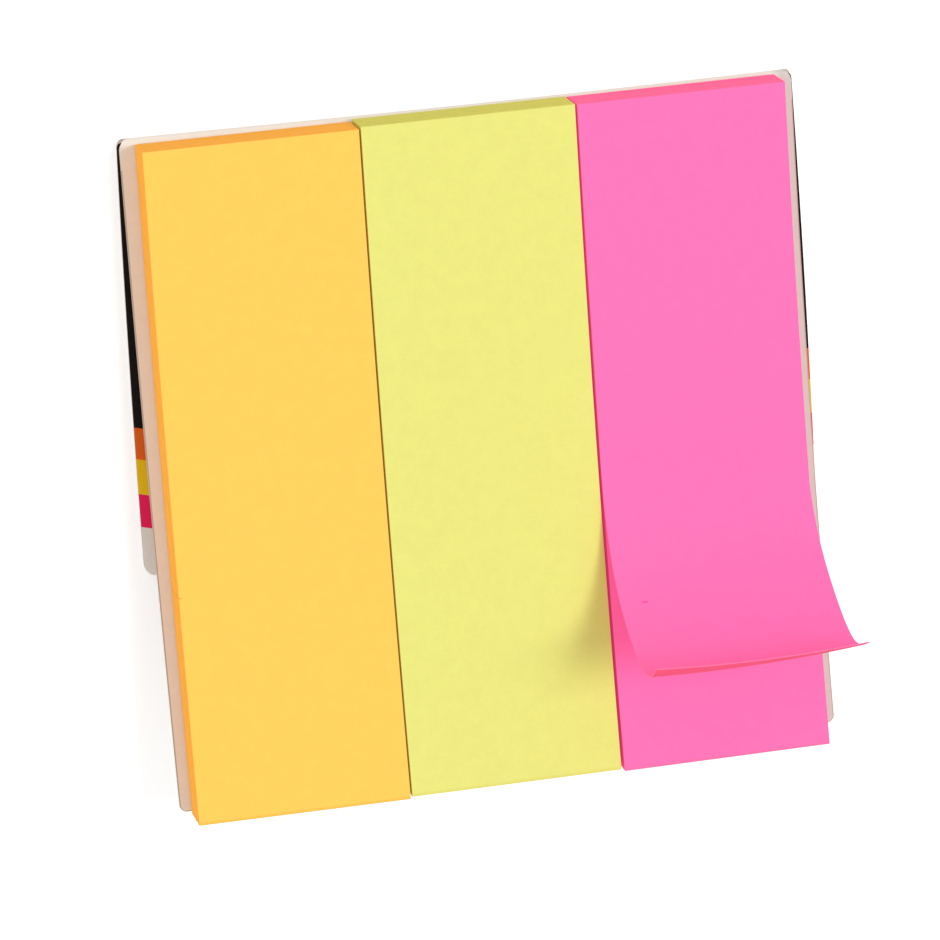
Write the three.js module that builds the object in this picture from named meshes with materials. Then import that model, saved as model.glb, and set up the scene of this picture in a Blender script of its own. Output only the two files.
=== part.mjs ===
// Sticky index tabs: three pads of paper markers side by side on a folded card. The card's cover is
// folded back and lies under it, and the top sheet of the pink pad has lifted and curls up.
// Lengths are in millimetres and angles in degrees. X runs across the pads from orange to pink, Y
// along them to the glued ends, and Z up. The cover lies flat on Z = 0.

import * as THREE from 'three';

// The pads
const padWidth = 24;
const padLength = 76;
const sheetThickness = 0.11;
const sheetsInPad = 50;
const padGap = 0.25; // between two pads at their glued ends
const glueFilm = 0.1; // between the pads and the card
const bowDepth = 1.2; // how far the pads and the card sag between their two ends
const padsTurn = -0.35; // the row of pads isn't quite square on its card
const yellowSlip = 0.23; // it lies this much nearer to the fold than the orange pad
const pinkSlip = 0.19;

// The pads from left to right: how far each has slipped, how far it is turned, and whether its top
// sheet has lifted
const padLook = [
  { name: 'orange_pad', colour: 0xffd35e, slip: 0, turn: 0, lifts: false },
  { name: 'yellow_pad', colour: 0xf1ec86, slip: yellowSlip, turn: 0, lifts: false },
  { name: 'pink_pad', colour: 0xfe7ebe, slip: pinkSlip, turn: 0.15, lifts: true },
];

// The lifted sheet
const sheetGap = 0.05; // air under the part that still lies on its pad
const curlLength = 33; // the part that curls up

// Its bends in order from the pad: the share of the curl that each takes, and how far the sheet
// turns in it at its left and its right edge
const curlBends = [
  { share: 0.394, left: 43, right: 50 },
  { share: 0.333, left: 27, right: 19 },
  { share: 0.182, left: 40, right: 41 },
  { share: 0.091, left: 16, right: -1 },
];

// The card
const cardThickness = 0.4;
const cardMarginLeft = 1.5; // past the orange pad
const cardMarginRight = 2; // past the pink pad
const cardMarginTop = 0.8; // from the pads' glued ends to the outside of the fold
const cardShortfall = 0.5; // the pads reach this far past the card's free end
const cornerRadius = 1.4; // of the cover and of the card at the fold
const freeCornerRadius = 0.8; // of the card at its free end

// The cover, folded back under the card
const coverAngle = 5; // between the cover and the card
const foldRadius = 0.65; // to the middle of the card's thickness
const coverLength = 49.5; // from the fold to its free end
const coverExtraAtFold = 0.4; // how much wider than the card it is there
const coverExtraAtEnd = 1.8;
const coverShift = 0.12; // it lies this far to the right of the card's middle

// How finely the curves are divided
const bowSteps = 20;
const foldSteps = 14;
const cornerSteps = 6;
const coverSteps = 8;
const lyingSteps = 10;
const bendSteps = 7;
const closestSteps = 0.01; // two steps nearer than this are taken as one

const radians = THREE.MathUtils.degToRad;

// Sizes that follow from the ones above
const padThickness = sheetThickness * sheetsInPad;
const padsWidth = padLook.length * padWidth + (padLook.length - 1) * padGap;
const cardWidth = cardMarginLeft + padsWidth + cardMarginRight;
const bowRadius = (padLength ** 2 / 4 + bowDepth ** 2) / (2 * bowDepth); // of the pads' backs
const bowCentreHeight = bowRadius - bowDepth; // over the ends of a pad's back
const cardBowRadius = bowRadius + glueFilm + cardThickness / 2;
const foldOutside = foldRadius + cardThickness / 2;

// A path in the side view that starts at a point with a heading and follows runs of arc, each with
// a length and an angle that it turns through. It gives the point and heading at any distance.
function arcPath(start, runs) {
  return (distance) => {
    let { y, z, heading } = start;
    let rest = distance;
    for (const run of runs) {
      const part = Math.min(rest, run.length);
      const turn = run.turn * part / run.length;
      const chord = turn === 0 ? part : 2 * part / turn * Math.sin(turn / 2);
      y += chord * Math.cos(heading + turn / 2);
      z += chord * Math.sin(heading + turn / 2);
      heading += turn;
      rest -= part;
      if (rest <= 0) break;
    }
    return { y, z, heading };
  };
}

// Distances from one value to another in equal steps, both ends included
function evenSteps(from, to, steps) {
  return Array.from({ length: steps + 1 }, (_, i) => from + (to - from) * i / steps);
}

// The same distances in order, with any that all but coincide taken once
function inOrder(distances) {
  const sorted = [...distances].sort((a, b) => a - b);
  return sorted.filter((value, i) => i === 0 || value - sorted[i - 1] > closestSteps);
}

// A thin strip along two paths, one for each edge: at each distance a function gives the X of its
// left and right edge, and half of its thickness lies on each side of the paths
function strip(distances, edges, thickness) {
  const corners = [];
  for (const distance of distances) {
    const { left, right } = edges(distance);
    const point = (edge, side) => {
      const y = edge.y - Math.sin(edge.heading) * side * thickness / 2;
      const z = edge.z + Math.cos(edge.heading) * side * thickness / 2;
      corners.push(edge.x, y, z);
    };
    point(left, 1);
    point(right, 1);
    point(right, -1);
    point(left, -1);
  }
  const faces = [0, 2, 1, 0, 3, 2];
  for (let row = 0; row < distances.length - 1; row++) {
    for (let k = 0; k < 4; k++) {
      const a = row * 4 + k;
      const b = row * 4 + (k + 1) % 4;
      faces.push(a, b, a + 4, b, b + 4, a + 4);
    }
  }
  const last = (distances.length - 1) * 4;
  faces.push(last, last + 1, last + 2, last, last + 2, last + 3);
  const geometry = new THREE.BufferGeometry();
  geometry.setAttribute('position', new THREE.Float32BufferAttribute(corners, 3));
  geometry.setIndex(faces);
  geometry.computeVertexNormals();
  return geometry;
}

function paper(colour) {
  return new THREE.MeshStandardMaterial({ color: colour, roughness: 0.85, metalness: 0 });
}

function named(name, geometry, material) {
  const mesh = new THREE.Mesh(geometry, material);
  mesh.name = name;
  return mesh;
}

// How far a rounded corner takes the edge in, at a distance from the line where the corner ends
function cornerInset(distance, radius) {
  const inside = Math.max(0, radius - distance);
  return radius - Math.sqrt(radius ** 2 - inside ** 2);
}

// Distances on one side of a line that give a rounded corner there its steps
function cornerDistances(line, side, radius) {
  const quarter = evenSteps(0, Math.PI / 2, cornerSteps);
  return quarter.map((angle) => line + side * radius * (1 - Math.cos(angle)));
}

// The card is one piece: from the cover's free end along the floor, round the fold, and up the
// panel that carries the pads, whose bow is centred on the pads
const panelAngleAtFold = Math.asin((padLength / 2 + cardMarginTop - foldOutside) / cardBowRadius);
const panelAngleAtEnd = Math.asin((padLength / 2 - cardShortfall) / cardBowRadius);
const foldTurn = Math.PI - radians(coverAngle) + panelAngleAtFold;
const foldLength = foldRadius * foldTurn;
const panelLength = cardBowRadius * (panelAngleAtFold + panelAngleAtEnd);
const foldLine = coverLength + foldLength / 2;
const cardEnd = coverLength + foldLength + panelLength;

const cardPath = arcPath({ y: 0, z: cardThickness / 2, heading: 0 }, [
  { length: coverLength, turn: 0 },
  { length: foldLength, turn: foldTurn },
  { length: panelLength, turn: -(panelAngleAtFold + panelAngleAtEnd) },
]);

function cardEdges(distance) {
  const place = cardPath(distance);
  const nearestLine = Math.min(distance, Math.abs(distance - foldLine));
  const insetAtFree = cornerInset(cardEnd - distance, freeCornerRadius);
  let halfWidth = cardWidth / 2 - cornerInset(nearestLine, cornerRadius) - insetAtFree;
  let middle = 0;
  if (distance < foldLine) {
    const flare = 1 - (distance / foldLine) ** 2; // most of the widening is near the fold
    halfWidth += (coverExtraAtFold + (coverExtraAtEnd - coverExtraAtFold) * flare) / 2;
    middle = coverShift;
  }
  return {
    left: { ...place, x: middle - halfWidth },
    right: { ...place, x: middle + halfWidth },
  };
}

function backingCard() {
  const distances = inOrder([
    ...cornerDistances(0, 1, cornerRadius),
    ...evenSteps(cornerRadius, coverLength, coverSteps),
    ...evenSteps(coverLength, coverLength + foldLength, foldSteps),
    ...cornerDistances(foldLine, -1, cornerRadius),
    ...cornerDistances(foldLine, 1, cornerRadius),
    ...evenSteps(coverLength + foldLength, cardEnd - freeCornerRadius, bowSteps),
    ...cornerDistances(cardEnd, -1, freeCornerRadius),
  ]);
  return named('backing_card', strip(distances, cardEdges, cardThickness), paper(0xf6f2ec));
}

// A pad stands on the bowed card from its free end at Y = 0 to its glued end
function pad(name, colour, thickness) {
  const half = Math.asin(padLength / 2 / bowRadius);
  const down = -Math.PI / 2;
  const side = new THREE.Shape();
  side.absarc(padLength / 2, bowCentreHeight, bowRadius, down - half, down + half, false);
  side.absarc(padLength / 2, bowCentreHeight + thickness, bowRadius, down + half, down - half, true);
  const geometry = new THREE.ExtrudeGeometry(side, {
    depth: padWidth,
    bevelEnabled: false,
    curveSegments: bowSteps,
  });
  const across = new THREE.Vector3(1, 0, 0);
  const along = new THREE.Vector3(0, 1, 0);
  const up = new THREE.Vector3(0, 0, 1);
  geometry.applyMatrix4(new THREE.Matrix4().makeBasis(along, up, across));
  return named(name, geometry, paper(colour));
}

// The sheet starts at the glued end on top of its pad, follows the pad's bow and then curls up
function liftedSheet(name, colour, padUnderIt) {
  const radius = bowRadius - sheetGap - sheetThickness / 2;
  const half = Math.asin(padLength / 2 / radius);
  const lyingLength = padLength - curlLength;
  const start = {
    y: padLength,
    z: bowCentreHeight + padUnderIt - radius * Math.cos(half),
    heading: Math.PI + half,
  };
  const edgePath = (edge) => arcPath(start, [
    { length: lyingLength, turn: -lyingLength / radius },
    ...curlBends.map((bend) => ({ length: bend.share * curlLength, turn: -radians(bend[edge]) })),
  ]);
  const leftPath = edgePath('left');
  const rightPath = edgePath('right');
  const distances = evenSteps(0, lyingLength, lyingSteps);
  let bendStart = lyingLength;
  for (const bend of curlBends) {
    const bendEnd = bendStart + bend.share * curlLength;
    distances.push(...evenSteps(bendStart, bendEnd, bendSteps));
    bendStart = bendEnd;
  }
  const edges = (distance) => ({
    left: { ...leftPath(distance), x: 0 },
    right: { ...rightPath(distance), x: padWidth },
  });
  return named(name, strip(inOrder(distances), edges, sheetThickness), paper(colour));
}

// The pads stand in a row in the panel's own slope, about the centre of the panel's bow
function padRow() {
  const row = new THREE.Group();
  padLook.forEach((look, i) => {
    const place = new THREE.Group();
    place.position.set(i * (padWidth + padGap), look.slip, 0);
    const thickness = look.lifts ? padThickness - sheetThickness : padThickness;
    const parts = [pad(look.name, look.colour, thickness)];
    if (look.lifts) parts.push(liftedSheet('pink_top_sheet', look.colour, thickness));
    // A pad turns about the left corner of its glued end
    for (const part of parts) part.position.y = -padLength;
    const hinge = new THREE.Group();
    hinge.position.y = padLength;
    hinge.rotation.z = radians(look.turn);
    hinge.add(...parts);
    place.add(hinge);
    row.add(place);
  });
  row.position.set(-padsWidth / 2, -padLength / 2, -bowCentreHeight);

  const turned = new THREE.Group();
  turned.rotation.z = radians(padsTurn);
  turned.position.x = (cardMarginLeft - cardMarginRight) / 2;
  turned.add(row);

  const fold = cardPath(coverLength + foldLength);
  const sloped = new THREE.Group();
  sloped.rotation.x = -radians(coverAngle);
  sloped.position.set(
    0,
    fold.y + cardBowRadius * Math.sin(fold.heading),
    fold.z - cardBowRadius * Math.cos(fold.heading),
  );
  sloped.add(turned);
  return sloped;
}

const tabs = new THREE.Group();
tabs.add(backingCard(), padRow());

// The origin is on the floor under the middle of the whole object
const extent = new THREE.Box3().setFromObject(tabs, true);
const middle = extent.getCenter(new THREE.Vector3());
tabs.position.set(-middle.x, -middle.y, 0);

export default tabs;
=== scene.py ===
# Sticky index tabs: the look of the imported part. Three pads of paper markers lie side by side on a
# folded card, and the top sheet of the pink pad curls up.
# Lengths in the dictionaries are in millimetres and angles in degrees.

import math

import bpy
from mathutils import Euler, Matrix, Vector


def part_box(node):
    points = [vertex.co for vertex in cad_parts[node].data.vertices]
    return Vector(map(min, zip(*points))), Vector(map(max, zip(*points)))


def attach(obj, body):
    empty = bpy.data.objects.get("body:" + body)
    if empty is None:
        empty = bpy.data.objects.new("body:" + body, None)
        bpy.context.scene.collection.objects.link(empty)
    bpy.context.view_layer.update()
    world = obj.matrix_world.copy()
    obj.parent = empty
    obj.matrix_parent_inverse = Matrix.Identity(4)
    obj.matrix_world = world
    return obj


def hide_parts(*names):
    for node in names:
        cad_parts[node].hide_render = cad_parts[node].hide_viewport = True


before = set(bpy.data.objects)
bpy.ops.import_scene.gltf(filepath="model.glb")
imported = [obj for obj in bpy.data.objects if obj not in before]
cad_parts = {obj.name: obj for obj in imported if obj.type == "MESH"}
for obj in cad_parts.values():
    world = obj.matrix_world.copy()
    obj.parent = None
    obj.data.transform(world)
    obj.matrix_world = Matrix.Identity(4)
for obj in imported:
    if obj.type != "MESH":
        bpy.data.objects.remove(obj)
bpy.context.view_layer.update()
print("frame loaded")

mm = 0.001

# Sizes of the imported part, as its source has them
partSizes = {
    "padWidth": 24,
    "padLength": 76,
    "sheetThickness": 0.11,
    "sheetsInPad": 50,
    "padGap": 0.25,
    "glueFilm": 0.1,
    "bowDepth": 1.2,
    "padsTurn": -0.35,
    "padSlips": (0, 0.23, 0.19),
    "padTurns": (0, 0, 0.15),
    "sheetGap": 0.05,
    "cardThickness": 0.4,
    "cardMarginLeft": 1.5,
    "cardMarginRight": 2,
    "cardMarginTop": 0.8,
    "cardShortfall": 0.5,
    "cornerRadius": 1.4,
    "freeCornerRadius": 0.8,
    "coverAngle": 5,
    "foldRadius": 0.65,
    "coverLength": 49.5,
    "coverExtraAtFold": 0.4,
    "coverExtraAtEnd": 1.8,
    "coverShift": 0.12,
}

padWidth = partSizes["padWidth"]
padLength = partSizes["padLength"]
padThickness = partSizes["sheetThickness"] * partSizes["sheetsInPad"]
padStep = padWidth + partSizes["padGap"]
padCount = len(partSizes["padSlips"])
padsWidth = padCount * padWidth + (padCount - 1) * partSizes["padGap"]
cardWidth = partSizes["cardMarginLeft"] + padsWidth + partSizes["cardMarginRight"]
bowDepth = partSizes["bowDepth"]
bowRadius = (padLength ** 2 / 4 + bowDepth ** 2) / (2 * bowDepth)
bowCentreHeight = bowRadius - bowDepth
cardBowRadius = bowRadius + partSizes["glueFilm"] + partSizes["cardThickness"] / 2
foldOutside = partSizes["foldRadius"] + partSizes["cardThickness"] / 2


# A path in the side view that follows runs of arc, each with a length and an angle to turn through
def arcPath(start, runs):
    def at(distance):
        y, z, heading = start
        rest = distance
        for length, turn in runs:
            part = min(rest, length)
            turned = turn * part / length
            chord = part if turned == 0 else 2 * part / turned * math.sin(turned / 2)
            y += chord * math.cos(heading + turned / 2)
            z += chord * math.sin(heading + turned / 2)
            heading += turned
            rest -= part
            if rest <= 0:
                break
        return y, z, heading
    return at


panelAngleAtFold = math.asin((padLength / 2 + partSizes["cardMarginTop"] - foldOutside) / cardBowRadius)
panelAngleAtEnd = math.asin((padLength / 2 - partSizes["cardShortfall"]) / cardBowRadius)
foldTurn = math.pi - math.radians(partSizes["coverAngle"]) + panelAngleAtFold
foldLength = partSizes["foldRadius"] * foldTurn
panelLength = cardBowRadius * (panelAngleAtFold + panelAngleAtEnd)
coverLength = partSizes["coverLength"]
foldLine = coverLength + foldLength / 2
cardEnd = coverLength + foldLength + panelLength
cardPath = arcPath((0, partSizes["cardThickness"] / 2, 0), [
    (coverLength, 0),
    (foldLength, foldTurn),
    (panelLength, -(panelAngleAtFold + panelAngleAtEnd)),
])

# Where the card and the row of pads lie in the frame
cardLow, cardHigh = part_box("backing_card")
cardPlace = Matrix.Translation((
    (cardLow[0] + cardHigh[0]) / 2 / mm - partSizes["coverShift"],
    cardHigh[1] / mm - coverLength - foldOutside,
    0,
))
foldY, foldZ, foldHeading = cardPath(coverLength + foldLength)
rowPlace = (
    cardPlace
    @ Matrix.Translation((
        0,
        foldY + cardBowRadius * math.sin(foldHeading),
        foldZ - cardBowRadius * math.cos(foldHeading),
    ))
    @ Matrix.Rotation(-math.radians(partSizes["coverAngle"]), 4, "X")
    @ Matrix.Translation(((partSizes["cardMarginLeft"] - partSizes["cardMarginRight"]) / 2, 0, 0))
    @ Matrix.Rotation(math.radians(partSizes["padsTurn"]), 4, "Z")
    @ Matrix.Translation((-padsWidth / 2, -padLength / 2, -bowCentreHeight))
)


# The place of a pad, with its origin at the left end of its glued edge
def padPlace(index):
    return (
        rowPlace
        @ Matrix.Translation((index * padStep, partSizes["padSlips"][index] + padLength, 0))
        @ Matrix.Rotation(math.radians(partSizes["padTurns"][index]), 4, "Z")
    )


# A place in millimetres as one in metres
def inMetres(place):
    scaled = place.copy()
    scaled.translation = place.translation * mm
    return scaled


# A colour as it looks on screen, from 0 to 255, as the numbers that a shader takes
def screenColour(red, green, blue):
    def linear(value):
        value /= 255
        return value / 12.92 if value <= 0.04045 else ((value + 0.055) / 1.055) ** 2.4
    return linear(red), linear(green), linear(blue), 1.0


def addNode(tree, kind, settings=None, inputs=None):
    made = tree.nodes.new(kind)
    for key, value in (settings or {}).items():
        setattr(made, key, value)
    for key, value in (inputs or {}).items():
        if isinstance(value, bpy.types.NodeSocket):
            tree.links.new(value, made.inputs[key])
        else:
            made.inputs[key].default_value = value
    return made


# A value taken from one range to another, and held at its ends
def mapped(tree, value, fromRange, toRange):
    return addNode(tree, "ShaderNodeMapRange", {}, {
        "Value": value,
        "From Min": fromRange[0], "From Max": fromRange[1],
        "To Min": toRange[0], "To Max": toRange[1],
    }).outputs["Result"]


def mixedColour(tree, share, first, second):
    return addNode(tree, "ShaderNodeMix", {"data_type": "RGBA"}, {
        "Factor": share, 6: first, 7: second,
    }).outputs[2]


# A point's place on the flat sheet, whole and as its distances across and along it, in metres
def flatPlace(tree):
    spot = addNode(tree, "ShaderNodeUVMap", {"uv_map": "flat"}).outputs[0]
    parts = addNode(tree, "ShaderNodeSeparateXYZ", {}, {0: spot}).outputs
    return spot, parts["X"], parts["Y"]


def smoothStep(low, high, value):
    t = min(1, max(0, (value - low) / (high - low)))
    return t * t * (3 - 2 * t)


def evenSteps(low, high, steps):
    return [low + (high - low) * i / steps for i in range(steps + 1)]


# Paper and card: a colour with the cloudy look that pulp gives, and a fine grain. noiseRange is the
# part of a noise's range that is used.
paperLook = {
    "cloudSize": 1.6,
    "cloudDetail": 3,
    "cloudAmount": 0.018,
    "fleckSize": 0.35,
    "fleckDetail": 2,
    "fleckAmount": 0.012,
    "grainSize": 0.09,
    "grainDetail": 3,
    "grainDepth": 0.004,
    "grainStrength": 0.6,
    "noiseRoughness": 0.6,
    "noiseRange": (0.3, 0.7),
    "roughness": 0.82,
    "roughnessSpread": 0.06,
    "gloss": 0.12,
}


# A material whose plain colour comes from the socket that makeColour gives, clouded as paper is
# glow is painted light: the paper gives off light of glowColour though it is no lamp.
def pulpMaterial(name, makeColour, glow=0, glowColour=(1, 1, 1, 1)):
    look = paperLook
    material = bpy.data.materials.new(name)
    material.use_nodes = True
    tree = material.node_tree
    shader = tree.nodes["Principled BSDF"]
    place = addNode(tree, "ShaderNodeTexCoord").outputs["Object"]

    def noise(kind):
        return addNode(tree, "ShaderNodeTexNoise", {}, {
            "Vector": place,
            "Scale": 1 / (look[kind + "Size"] * mm),
            "Detail": look[kind + "Detail"],
            "Roughness": look["noiseRoughness"],
        }).outputs["Fac"]

    def spread(value, middle, amount):
        return mapped(tree, value, look["noiseRange"], (middle - amount, middle + amount))

    clouds = spread(noise("cloud"), 1 - look["cloudAmount"], look["cloudAmount"])
    flecks = spread(noise("fleck"), 1 - look["fleckAmount"], look["fleckAmount"])
    tone = addNode(tree, "ShaderNodeMath", {"operation": "MULTIPLY"}, {0: clouds, 1: flecks})
    clouded = addNode(tree, "ShaderNodeVectorMath", {"operation": "SCALE"}, {
        0: makeColour(tree), "Scale": tone.outputs[0],
    })
    tree.links.new(clouded.outputs[0], shader.inputs["Base Color"])
    rough = spread(noise("fleck"), look["roughness"], look["roughnessSpread"])
    tree.links.new(rough, shader.inputs["Roughness"])
    bump = addNode(tree, "ShaderNodeBump", {}, {
        "Strength": look["grainStrength"],
        "Distance": look["grainDepth"] * mm,
        "Height": noise("grain"),
    })
    tree.links.new(bump.outputs[0], shader.inputs["Normal"])
    shader.inputs["Specular IOR Level"].default_value = look["gloss"]
    shader.inputs["Emission Color"].default_value = glowColour
    shader.inputs["Emission Strength"].default_value = glow
    return material


def plainColour(shade):
    def make(tree):
        node = tree.nodes.new("ShaderNodeRGB")
        node.outputs[0].default_value = shade
        return node.outputs[0]
    return make


# A sheet's colour, darkened by painted shade in a narrow band along its free end. mark is a small oval
# mark on it.
def sheetColour(shade, endShadeColour, mark=None):
    def make(tree):
        spot, _, distance = flatPlace(tree)
        plain = marked(tree, spot, shade, mark) if mark else shade
        band = (padLength - stackLook["endBand"]) * mm, padLength * mm
        near = mapped(tree, distance, band, (0, stackLook["endShade"]))
        return mixedColour(tree, near, plain, endShadeColour)
    return make


# A colour with an oval mark on it, soft at its border. Its place and size are on the flat sheet, and
# softFrom is the share of its size at which it starts to fade.
def marked(tree, spot, shade, mark):
    x, y = mark["place"]
    halfWidth, halfLength = mark["halfSize"]
    away = addNode(tree, "ShaderNodeVectorMath", {"operation": "SUBTRACT"}, {
        0: spot, 1: (x * mm, y * mm, 0),
    })
    scaled = addNode(tree, "ShaderNodeVectorMath", {"operation": "DIVIDE"}, {
        0: away.outputs[0], 1: (halfWidth * mm, halfLength * mm, 1),
    })
    reach = addNode(tree, "ShaderNodeVectorMath", {"operation": "LENGTH"}, {0: scaled.outputs[0]})
    cover = mapped(tree, reach.outputs["Value"], (mark["softFrom"], 1), (1, 0))
    return mixedColour(tree, cover, shade, mark["shade"])


# Faces that meet at a larger angle than this have a sharp edge between them
sharpFrom = 60


# A thin body of even thickness on a grid of points of its middle surface. Its upper side is the one
# that the columns, crossed with the rows, point to. flat gives each point's place on the flat sheet.
def thinMesh(name, grid, flat, thickness, place):
    rows = len(grid)
    columns = len(grid[0])
    upper = []
    lower = []
    for i in range(rows):
        for j in range(columns):
            along = grid[min(i + 1, rows - 1)][j] - grid[max(i - 1, 0)][j]
            across = grid[i][min(j + 1, columns - 1)] - grid[i][max(j - 1, 0)]
            out = across.cross(along).normalized() * thickness / 2
            upper.append(place @ (grid[i][j] + out) * mm)
            lower.append(place @ (grid[i][j] - out) * mm)
    below = len(upper)

    def at(i, j):
        return i * columns + j

    faces = []
    for i in range(rows - 1):
        for j in range(columns - 1):
            ring = (at(i, j), at(i, j + 1), at(i + 1, j + 1), at(i + 1, j))
            faces.append(ring)
            faces.append(tuple(corner + below for corner in reversed(ring)))
    sidesFrom = len(faces)
    border = (
        [at(0, j) for j in range(columns)]
        + [at(i, columns - 1) for i in range(1, rows)]
        + [at(rows - 1, j) for j in range(columns - 2, -1, -1)]
        + [at(i, 0) for i in range(rows - 2, 0, -1)]
    )
    for k, corner in enumerate(border):
        after = border[(k + 1) % len(border)]
        faces.append((corner, corner + below, after + below, after))
    mesh = bpy.data.meshes.new(name)
    mesh.from_pydata([tuple(point) for point in upper + lower], [], faces)
    spots = [flat[i][j] for i in range(rows) for j in range(columns)] * 2
    layer = mesh.uv_layers.new(name="flat")
    for loop in mesh.loops:
        layer.data[loop.index].uv = spots[loop.vertex_index]
    edge = mesh.attributes.new("edge", "BOOLEAN", "FACE")
    for face in mesh.polygons:
        isSide = face.index >= sidesFrom
        face.use_smooth = not isSide
        edge.data[face.index].value = isSide
    mesh.set_sharp_from_angle(angle=math.radians(sharpFrom))
    return mesh


def addPiece(name, mesh, slotName, *nodes):
    piece = bpy.data.objects.new(name, mesh)
    bpy.context.scene.collection.objects.link(piece)
    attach(piece, "root")
    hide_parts(*nodes)


# The pads, from left to right. Seen from the side their edges look deeper in colour than a sheet.
# trim is what the right side of a pad was cut short by, at its glued edge and at its free end. reach
# is how much further its free end runs, at its left and its right side.
# Each pad's glow is painted light, given off by its paper and its edges, and on the pink pad by the
# lifted sheet's front too.
padLooks = [
    {
        "node": "orange_pad", "slot": "orange_paper", "sheets": 50, "reach": (0.27, 0.22),
        "sheet": screenColour(240, 194, 88), "edge": screenColour(234, 166, 62), "seed": 3,
        "glow": 0.12, "glowColour": screenColour(255, 150, 50),
        # mark is a small darker spot at the pad's left edge: painted shade of a nick in the edge.
        "mark": {
            "place": (0.12, 50.4), "halfSize": (0.25, 0.09), "softFrom": 0.3,
            "shade": screenColour(196, 136, 50),
        },
    },
    {
        "node": "yellow_pad", "slot": "yellow_paper", "sheets": 50, "reach": (0.22, 0.07),
        "sheet": screenColour(221, 219, 121), "edge": screenColour(210, 201, 95), "seed": 11,
        "glow": 0.03, "glowColour": screenColour(255, 240, 90),
    },
    {
        "node": "pink_pad", "slot": "pink_paper", "sheets": 49, "reach": (0.34, 0.2),
        "sheet": screenColour(240, 108, 165), "edge": screenColour(240, 106, 136), "seed": 24,
        "glow": 0.24, "glowColour": screenColour(255, 82, 156),
        "trim": (0.42, 0.2),
    },
]

# paperShare is how much of its step in the stack a sheet fills. Painted shade darkens a sheet over the
# last endBand of its length, and a pad starts to run on at reachFrom from its glued edge.
stackLook = {
    "paperShare": 0.985,
    "sideJitter": 0.035,
    "endJitter": 0.03,
    "turnJitter": 0.025,
    "rowsAlong": 24,
    "columnsAcross": 4,
    "endBand": 0.45,
    "endShade": 0.7,
    "reachFrom": 56,
}


# Geometry nodes that stack copies of a sheet: each lies a step above the one before, a little out
# of line with it, and the edges of the sheets get a material of their own
def stackTree():
    tree = bpy.data.node_groups.new("stack_of_sheets", "GeometryNodeTree")
    inputs = {
        "Sheet": "Geometry",
        "Sheets": "Int",
        "Step": "Float",
        "Side jitter": "Float",
        "End jitter": "Float",
        "Turn jitter": "Float",
        "Seed": "Int",
        "Paper": "Material",
        "Paper edge": "Material",
    }
    for name, kind in inputs.items():
        tree.interface.new_socket(name, in_out="INPUT", socket_type="NodeSocket" + kind)
    tree.interface.new_socket("Stack", in_out="OUTPUT", socket_type="NodeSocketGeometry")
    given = tree.nodes.new("NodeGroupInput").outputs

    step = addNode(tree, "ShaderNodeCombineXYZ", {}, {"Z": given["Step"]})
    line = addNode(tree, "GeometryNodeMeshLine", {"mode": "OFFSET"}, {
        "Count": given["Sheets"], "Offset": step.outputs[0],
    })
    reach = addNode(tree, "ShaderNodeCombineXYZ", {}, {
        "X": given["Side jitter"], "Y": given["End jitter"],
    })
    back = addNode(tree, "ShaderNodeVectorMath", {"operation": "SCALE"}, {
        0: reach.outputs[0], "Scale": -1.0,
    })
    slip = addNode(tree, "FunctionNodeRandomValue", {"data_type": "FLOAT_VECTOR"}, {
        "Min": back.outputs[0], "Max": reach.outputs[0], "Seed": given["Seed"],
    })
    placed = addNode(tree, "GeometryNodeSetPosition", {}, {
        "Geometry": line.outputs["Mesh"], "Offset": slip.outputs[0],
    })
    less = addNode(tree, "ShaderNodeMath", {"operation": "MULTIPLY"}, {
        0: given["Turn jitter"], 1: -1.0,
    })
    turn = addNode(tree, "FunctionNodeRandomValue", {"data_type": "FLOAT"}, {
        2: less.outputs[0], 3: given["Turn jitter"], "Seed": given["Seed"],
    })
    upright = addNode(tree, "ShaderNodeCombineXYZ", {}, {"Z": turn.outputs[1]})
    rotation = addNode(tree, "FunctionNodeEulerToRotation", {}, {0: upright.outputs[0]})
    single = addNode(tree, "GeometryNodeGeometryToInstance", {}, {0: given["Sheet"]})
    copies = addNode(tree, "GeometryNodeInstanceOnPoints", {}, {
        "Points": placed.outputs[0], "Instance": single.outputs[0], "Rotation": rotation.outputs[0],
    })
    real = addNode(tree, "GeometryNodeRealizeInstances", {}, {0: copies.outputs[0]})
    papered = addNode(tree, "GeometryNodeSetMaterial", {}, {
        "Geometry": real.outputs[0], "Material": given["Paper"],
    })
    isEdge = addNode(tree, "GeometryNodeInputNamedAttribute", {"data_type": "BOOLEAN"}, {
        "Name": "edge",
    })
    edged = addNode(tree, "GeometryNodeSetMaterial", {}, {
        "Geometry": papered.outputs[0], "Selection": isEdge.outputs[0],
        "Material": given["Paper edge"],
    })
    out = tree.nodes.new("NodeGroupOutput")
    tree.links.new(edged.outputs[0], out.inputs[0])
    return tree


# One sheet of a pad, with its origin at the left end of its glued edge, on the pad's bow
def lyingGrid(trim, reach):
    grid = []
    flat = []
    reachFrom = stackLook["reachFrom"]
    for y in evenSteps(-padLength, 0, stackLook["rowsAlong"]):
        width = padWidth - trim[0] + (trim[1] - trim[0]) * y / padLength
        share = max(0, (-y - reachFrom) / (padLength - reachFrom))
        row = []
        for x in evenSteps(0, width, stackLook["columnsAcross"]):
            reached = y - share * (reach[0] + (reach[1] - reach[0]) * x / width)
            fromMiddle = reached + padLength / 2
            z = bowCentreHeight - math.sqrt(bowRadius ** 2 - fromMiddle ** 2)
            row.append(Vector((x, reached, z)))
        grid.append(row)
        flat.append([(point.x * mm, -y * mm) for point in row])
    return grid, flat


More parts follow.
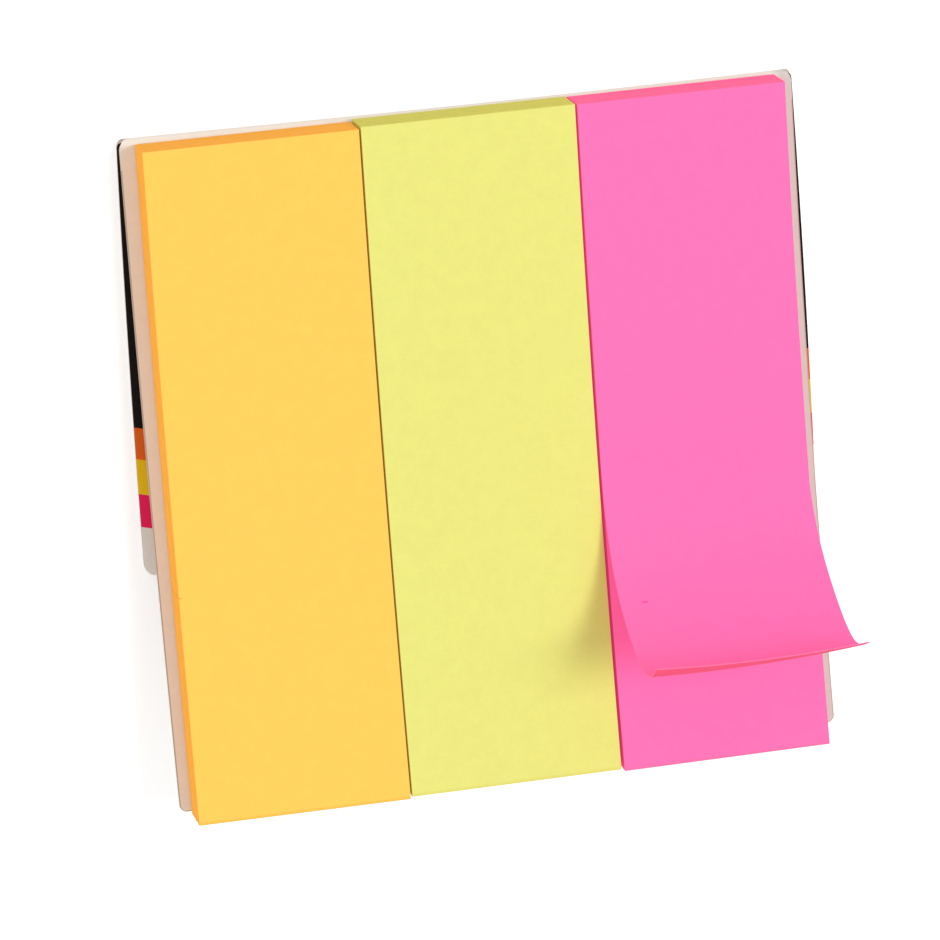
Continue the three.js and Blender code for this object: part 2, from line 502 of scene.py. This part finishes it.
def makePad(index, look, tree):
    grid, flat = lyingGrid(look.get("trim", (0, 0)), look["reach"])
    thickness = partSizes["sheetThickness"]
    lift = Matrix.Translation((0, 0, thickness / 2))
    sheet = thinMesh(look["node"] + "_sheet", grid, flat, thickness * stackLook["paperShare"], lift)
    stack = bpy.data.objects.new(look["node"] + "_stack", sheet)
    bpy.context.scene.collection.objects.link(stack)
    glow = look["glow"], look["glowColour"]
    sheetLook = sheetColour(look["sheet"], look["edge"], look.get("mark"))
    paper = pulpMaterial(look["slot"], sheetLook, *glow)
    paperEdge = pulpMaterial(look["slot"] + "_edge", plainColour(look["edge"]), *glow)
    values = {
        "Sheets": look["sheets"],
        "Step": thickness * mm,
        "Side jitter": stackLook["sideJitter"] * mm,
        "End jitter": stackLook["endJitter"] * mm,
        "Turn jitter": math.radians(stackLook["turnJitter"]),
        "Seed": look["seed"],
        "Paper": paper,
        "Paper edge": paperEdge,
    }
    modifier = stack.modifiers.new("stack", "NODES")
    modifier.node_group = tree
    for item in tree.interface.items_tree:
        if item.in_out == "INPUT" and item.name in values:
            modifier[item.identifier] = values[item.name]
    bpy.context.view_layer.update()
    made = stack.evaluated_get(bpy.context.evaluated_depsgraph_get())
    mesh = bpy.data.meshes.new_from_object(made)
    mesh.name = look["node"] + "_sheets"
    bpy.data.objects.remove(stack)
    mesh.transform(inMetres(padPlace(index)))
    addPiece(look["node"] + "_sheets", mesh, look["slot"], look["node"])


stacking = stackTree()
for index, look in enumerate(padLooks):
    makePad(index, look, stacking)
print("pads made")


# The lifted sheet. bends gives how far it has turned up at a distance from its glued end, along its
# left and its right edge. bulge is how far the middle of its end bows out. trim is what its right
# side was cut short by, and lean is how far it leans over to the left once it has lifted. Each bend
# is evened out over the length of smoothing.
liftedLook = {
    "bends": [
        (43, 0, 0),
        (44, 9.5, 5),
        (50, 21, 31),
        (56, 43, 50),
        (62, 60, 58),
        (67, 70, 69),
        (70, 87, 93),
        (73, 111, 110),
        (76, 126, 108),
    ],
    # back is the underside's colour, painted shade: a darker copy of the pink paper. backGlow is
    # painted light on it.
    "back": screenColour(250, 82, 123),
    "backGlow": 0.1,
    "cutEdge": screenColour(240, 117, 165),
    "trim": 0.45,
    "lean": 0.2,
    "leanFrom": 30,
    "leanTo": 60,
    "mark": {
        "place": (2.55, 57.55), "halfSize": (0.5, 0.2), "softFrom": 0.4,
        "shade": screenColour(206, 72, 130),
    },
    "smoothing": 4,
    "smoothingSteps": 8,
    "bulge": 0.45,
    "bulgeFrom": 58,
    "step": 0.5,
    "columnsAcross": 24,
}


# Where each edge's angle stands in a row of bends
leftEdge = 1
rightEdge = 2


# The angle at a distance on one edge, which goes on beyond the last row as it did before it
def bendAt(distance, side):
    bends = liftedLook["bends"]
    if distance <= bends[0][0]:
        return 0
    for low, high in zip(bends, bends[1:]):
        if distance <= high[0]:
            share = (distance - low[0]) / (high[0] - low[0])
            return low[side] + (high[side] - low[side]) * share
    return bends[-1][side] + (distance - bends[-1][0]) * (
        (bends[-1][side] - bends[-2][side]) / (bends[-1][0] - bends[-2][0])
    )


# The same angle in radians, evened out over a stretch around the distance
def smoothBend(distance, side):
    reach = liftedLook["smoothing"] / 2
    samples = evenSteps(distance - reach, distance + reach, liftedLook["smoothingSteps"])
    return math.radians(sum(bendAt(at, side) for at in samples) / len(samples))


# The sheet from its glued end: each edge follows its own bends, and the rows run between the two
def liftedGrid():
    under = padThickness - partSizes["sheetThickness"]
    radius = bowRadius - partSizes["sheetGap"] - partSizes["sheetThickness"] / 2
    half = math.asin(padLength / 2 / radius)
    start = (0, bowCentreHeight + under - radius * math.cos(half))
    step = liftedLook["step"]
    distances = evenSteps(0, padLength, round(padLength / step))
    edges = []
    for side in (leftEdge, rightEdge):
        y, z = start
        points = [(y, z)]
        for low, high in zip(distances, distances[1:]):
            middle = (low + high) / 2
            lying = min(middle, liftedLook["bends"][0][0])
            heading = math.pi + half - lying / radius - smoothBend(middle, side)
            y += (high - low) * math.cos(heading)
            z += (high - low) * math.sin(heading)
            points.append((y, z))
        edges.append(points)
    grid = []
    flat = []
    for i, distance in enumerate(distances):
        left, right = edges[0][i], edges[1][i]
        turned = (smoothBend(distance, leftEdge) + smoothBend(distance, rightEdge)) / 2
        out = Vector((0, math.sin(turned), math.cos(turned)))
        lean = liftedLook["lean"] * smoothStep(liftedLook["leanFrom"], liftedLook["leanTo"], distance)
        row = []
        for share in evenSteps(1, 0, liftedLook["columnsAcross"]):
            point = Vector((
                share * (padWidth - liftedLook["trim"] + lean) - lean,
                left[0] + (right[0] - left[0]) * share,
                left[1] + (right[1] - left[1]) * share,
            ))
            bulge = liftedLook["bulge"] * 4 * share * (1 - share)
            point -= out * bulge * smoothStep(liftedLook["bulgeFrom"], padLength, distance)
            row.append(point)
        grid.append(row)
        flat.append([(point.x * mm, distance * mm) for point in row])
    return grid, flat


pinkIndex = 2
liftedRows, liftedFlat = liftedGrid()
liftedMesh = thinMesh(
    "pink_top_sheet_paper", liftedRows, liftedFlat, partSizes["sheetThickness"], padPlace(pinkIndex)
)
pinkLook = padLooks[pinkIndex]
pinkGlow = pinkLook["glow"], pinkLook["glowColour"]
liftedFront = sheetColour(pinkLook["sheet"], pinkLook["edge"], liftedLook["mark"])
liftedMesh.materials.append(pulpMaterial("pink_paper_front", liftedFront, *pinkGlow))
liftedMesh.materials.append(pulpMaterial("pink_paper_cut", plainColour(liftedLook["cutEdge"])))
# The underside gets painted shade, a darker pink than the front, and a little painted glow.
backShadeColour = liftedLook["back"]
shadedBackPaper = pulpMaterial("pink_paper_back_shade", plainColour(backShadeColour), liftedLook["backGlow"], backShadeColour)
liftedMesh.materials.append(shadedBackPaper)
for face in liftedMesh.polygons:
    isEdge = liftedMesh.attributes["edge"].data[face.index].value
    isBack = face.vertices[0] >= len(liftedMesh.vertices) / 2
    face.material_index = 1 if isEdge else 2 if isBack else 0
addPiece("pink_top_sheet_paper", liftedMesh, "pink_paper", "pink_top_sheet")
print("lifted sheet made")


# The card. Its cover has a dark print with three bright stripes and a bare end on the side that was
# outermost before it was folded back. stripes gives how far from the cover's free end each colour
# starts at the sides, and stripeArch is how much nearer to that end it starts in the middle. The
# panel's free end has a narrow rim, and so have its sides from rimFrom past the fold, painted in the
# darker colour of the cut edge as painted shade where the edge rolls away.
# The real card isn't quite square. foldLean is how far the fold runs in towards the pads, and the
# trims are what the right side was cut short by. panelReach is how much further the panel's free end
# runs at its left and its right side, and coverReach is how much further the cover's does.
cardLook = {
    "card": screenColour(236, 227, 216),
    "cardGreyed": screenColour(206, 206, 197),
    "greyFrom": 35.6,
    "greyTo": 36.8,
    # The cut edge colour below is also the painted shade on the rim beside the card's cut edges.
    "cutEdgeAndRimShade": screenColour(188, 172, 160),
    "rim": 0.12,
    "rimFrom": 3,
    "stripes": [
        (0, screenColour(240, 230, 220)),
        (5.42, screenColour(246, 34, 94)),
        (9.45, screenColour(248, 202, 25)),
        (13.47, screenColour(244, 106, 30)),
        (17.16, screenColour(28, 22, 20)),
    ],
    "stripeArch": 5,
    "foldLean": 0.62,
    "foldLeanReach": 110,
    "trimAtFold": 0.12,
    "trimAtEnds": 0.25,
    "panelReach": (0.37, -0.3),
    "coverReach": 0.42,
    "columnsAcross": 12,
    "panelSteps": 60,
    "foldSteps": 32,
    "coverSteps": 24,
    "cornerSteps": 12,
    "closestRows": 0.004,
}


# The bare card, which looks greyer along its right side
def cardColour(tree):
    _, x, _ = flatPlace(tree)
    near = mapped(tree, x, (cardLook["greyFrom"] * mm, cardLook["greyTo"] * mm), (0, 1))
    return mixedColour(tree, near, cardLook["card"], cardLook["cardGreyed"])


# The print, whose stripes bow towards the cover's free end in the middle
def printColour(tree):
    _, x, distance = flatPlace(tree)
    square = addNode(tree, "ShaderNodeMath", {"operation": "POWER"}, {0: x, 1: 2.0})
    arch = addNode(tree, "ShaderNodeMath", {"operation": "MULTIPLY_ADD"}, {
        0: square.outputs[0],
        1: -cardLook["stripeArch"] * mm / (cardWidth * mm / 2) ** 2,
        2: distance,
    })
    level = addNode(tree, "ShaderNodeMath", {"operation": "ADD"}, {
        0: arch.outputs[0], 1: cardLook["stripeArch"] * mm,
    })
    share = addNode(tree, "ShaderNodeMath", {"operation": "DIVIDE"}, {
        0: level.outputs[0], 1: coverLength * mm,
    })
    ramp = addNode(tree, "ShaderNodeValToRGB", {}, {0: share.outputs[0]})
    ramp.color_ramp.interpolation = "CONSTANT"
    stripes = cardLook["stripes"]
    while len(ramp.color_ramp.elements) < len(stripes):
        ramp.color_ramp.elements.new(1)
    for element, (reach, shade) in zip(ramp.color_ramp.elements, stripes):
        element.position = reach / coverLength
        element.color = shade
    return ramp.outputs[0]


# How far a rounded corner takes the edge in, at a distance from the line where the corner ends
def cornerInset(distance, radius):
    inside = max(0, radius - distance)
    return radius - math.sqrt(radius ** 2 - inside ** 2)


# Distances on one side of a line that give a rounded corner there its steps
def cornerDistances(line, side, radius):
    quarter = evenSteps(0, math.pi / 2, cardLook["cornerSteps"])
    return [line + side * radius * (1 - math.cos(angle)) for angle in quarter]


# How far across the card a point lies, from 0 at its left side to 1 at its right side
def shareAcross(x):
    return min(1, max(0, 0.5 + x / cardWidth))


# The fold isn't quite square to the card: it runs in towards the pads from left to right, on a curve
# that takes foldLeanReach of a sine, and the board on both sides of it follows less and less
def foldLean(x, distance):
    fade = max(0, 1 - abs(distance - foldLine) / coverLength)
    curve = math.sin(math.radians(cardLook["foldLeanReach"]) * shareAcross(x))
    return cardLook["foldLean"] * curve * fade


# How much further the card runs at its free ends. The panel's was cut askew, so that it runs on at
# the left and stops short at the right.
def freeReach(x, distance):
    if distance < foldLine:
        return cardLook["coverReach"] * (1 - distance / foldLine)
    left, right = cardLook["panelReach"]
    reach = left + (right - left) * shareAcross(x)
    return reach * (distance - foldLine) / (cardEnd - foldLine)


# What the card's right side was cut short by, less at the fold than at both ends
def rightTrim(distance):
    away = min(1, abs(distance - foldLine) / coverLength)
    return cardLook["trimAtFold"] + (cardLook["trimAtEnds"] - cardLook["trimAtFold"]) * away


# How far the card's rows are from the cover's free end. Rows that all but coincide are taken once.
def cardDistances():
    radius = partSizes["cornerRadius"]
    freeRadius = partSizes["freeCornerRadius"]
    distances = sorted(
        cornerDistances(0, 1, radius)
        + evenSteps(radius, coverLength, cardLook["coverSteps"])
        + evenSteps(coverLength, coverLength + foldLength, cardLook["foldSteps"])
        + cornerDistances(foldLine, -1, radius)
        + cornerDistances(foldLine, 1, radius)
        + evenSteps(coverLength + foldLength, cardEnd - freeRadius, cardLook["panelSteps"])
        + cornerDistances(cardEnd, -1, freeRadius)
        + [cardEnd - cardLook["rim"]]
    )
    return distances[:1] + [
        value for before, value in zip(distances, distances[1:])
        if value - before > cardLook["closestRows"]
    ]


# The card from the cover's free end, round the fold, to the panel's free end
def cardGrid():
    radius = partSizes["cornerRadius"]
    freeRadius = partSizes["freeCornerRadius"]
    rim = cardLook["rim"]
    grid = []
    flat = []
    for distance in cardDistances():
        y, z, _ = cardPath(distance)
        inset = cornerInset(min(distance, abs(distance - foldLine)), radius)
        halfWidth = cardWidth / 2 - inset - cornerInset(cardEnd - distance, freeRadius)
        middle = 0
        if distance < foldLine:
            flare = 1 - (distance / foldLine) ** 2
            extra = partSizes["coverExtraAtEnd"] - partSizes["coverExtraAtFold"]
            halfWidth += (partSizes["coverExtraAtFold"] + extra * flare) / 2
            middle = partSizes["coverShift"]
        trim = rightTrim(distance)
        halfWidth -= trim / 2
        middle -= trim / 2
        left = middle - halfWidth
        right = middle + halfWidth
        across = [left, *evenSteps(left + rim, right - rim, cardLook["columnsAcross"]), right]
        row = []
        for x in across:
            row.append(Vector((x, y - foldLean(x, distance) - freeReach(x, distance), z)))
        grid.append(row)
        flat.append([(x * mm, distance * mm) for x in across])
    return grid, flat


cardRows, cardFlat = cardGrid()
cardMesh = thinMesh("backing_card_board", cardRows, cardFlat, partSizes["cardThickness"], cardPlace)
cardMesh.materials.append(pulpMaterial("card", cardColour))
cardMesh.materials.append(pulpMaterial("card_edge_and_rim_shade", plainColour(cardLook["cutEdgeAndRimShade"])))
cardMesh.materials.append(pulpMaterial("card_print", printColour))
rimColumns = (0, cardLook["columnsAcross"] + 1)
cardSpots = cardMesh.uv_layers["flat"].data
for face in cardMesh.polygons:
    distance = sum(cardSpots[i].uv[1] for i in face.loop_indices) / face.loop_total
    column = min(face.vertices) % len(cardRows[0])
    isCut = cardMesh.attributes["edge"].data[face.index].value
    # The rim beside the cut edges takes the cut edge's colour as painted shade.
    isShadedRim = column in rimColumns and distance > (foldLine + cardLook["rimFrom"]) * mm
    isEdge = isCut or isShadedRim or distance > (cardEnd - cardLook["rim"]) * mm
    isUpper = face.vertices[0] < len(cardMesh.vertices) / 2
    isPrinted = distance < foldLine * mm and isUpper
    face.material_index = 1 if isEdge else 2 if isPrinted else 0
addPiece("backing_card_board", cardMesh, "card", "backing_card")
print("card made")

# The camera, placed in the row of pads' own frame as the photograph was taken
cameraLook = {
    "place": (-96.356, 203.565, 713.242),
    "turn": (-12.26487, -11.33499, -4.24837),
    "lens": 255.056,
    "sensorWidth": 36,
}
camera = bpy.data.objects.new("camera", bpy.data.cameras.new("camera"))
bpy.context.scene.collection.objects.link(camera)
camera.data.lens = cameraLook["lens"]
camera.data.sensor_width = cameraLook["sensorWidth"]
cameraTurn = Euler([math.radians(angle) for angle in cameraLook["turn"]]).to_matrix().to_4x4()
cameraPlace = rowPlace @ Matrix.Translation(cameraLook["place"]) @ cameraTurn
camera.matrix_world = inMetres(cameraPlace)
bpy.context.scene.camera = camera

# Soft studio light: a white surround, a wide lamp to the right and a weaker, lower one to the left.
# direction points from the object to the lamp.
lightLook = {
    "surround": 0.62,
    "lamps": [
        {"watts": 3.1, "direction": (0.45, 0.22, 1.0), "width": 240},
        {"watts": 2.1, "direction": (-1.0, 0.1, 0.55), "width": 500},
    ],
    "distance": 800,
}
world = bpy.data.worlds.new("surround")
world.use_nodes = True
bpy.context.scene.world = world
world.node_tree.nodes["Background"].inputs["Color"].default_value = (1, 1, 1, 1)
world.node_tree.nodes["Background"].inputs["Strength"].default_value = lightLook["surround"]
for look in lightLook["lamps"]:
    lampData = bpy.data.lights.new("lamp", "AREA")
    lampData.energy = look["watts"]
    lampData.size = look["width"] * mm
    lamp = bpy.data.objects.new("lamp", lampData)
    bpy.context.scene.collection.objects.link(lamp)
    direction = Vector(look["direction"]).normalized()
    lamp.location = direction * lightLook["distance"] * mm
    lamp.rotation_euler = direction.to_track_quat("Z", "Y").to_euler()

# The floor, white and broad. lift brightens it for the camera alone, so that it reads as white.
floorLook = {"size": 6000, "shade": (0.97, 0.97, 0.97, 1), "lift": 0.26}
floorMesh = bpy.data.meshes.new("floor")
reach = floorLook["size"] / 2 * mm
floorCorners = [(-reach, -reach, 0), (reach, -reach, 0), (reach, reach, 0), (-reach, reach, 0)]
floorMesh.from_pydata(floorCorners, [], [(0, 1, 2, 3)])
floor = bpy.data.objects.new("floor", floorMesh)
bpy.context.scene.collection.objects.link(floor)
floorMaterial = bpy.data.materials.new("floor")
floorMaterial.use_nodes = True
floorShader = floorMaterial.node_tree.nodes["Principled BSDF"]
floorShader.inputs["Base Color"].default_value = floorLook["shade"]
floorShader.inputs["Roughness"].default_value = 1
floorShader.inputs["Specular IOR Level"].default_value = 0
floorTree = floorMaterial.node_tree
seen = addNode(floorTree, "ShaderNodeLightPath")
lift = addNode(floorTree, "ShaderNodeEmission", {}, {"Strength": floorLook["lift"]})
both = addNode(floorTree, "ShaderNodeAddShader", {}, {0: floorShader.outputs[0], 1: lift.outputs[0]})
choice = addNode(floorTree, "ShaderNodeMixShader", {}, {
    0: seen.outputs["Is Camera Ray"], 1: floorShader.outputs[0], 2: both.outputs[0],
})
floorTree.links.new(choice.outputs[0], floorTree.nodes["Material Output"].inputs["Surface"])
floorMesh.materials.append(floorMaterial)
bpy.context.scene.view_settings.view_transform = "Standard"
print("camera, light and floor set")
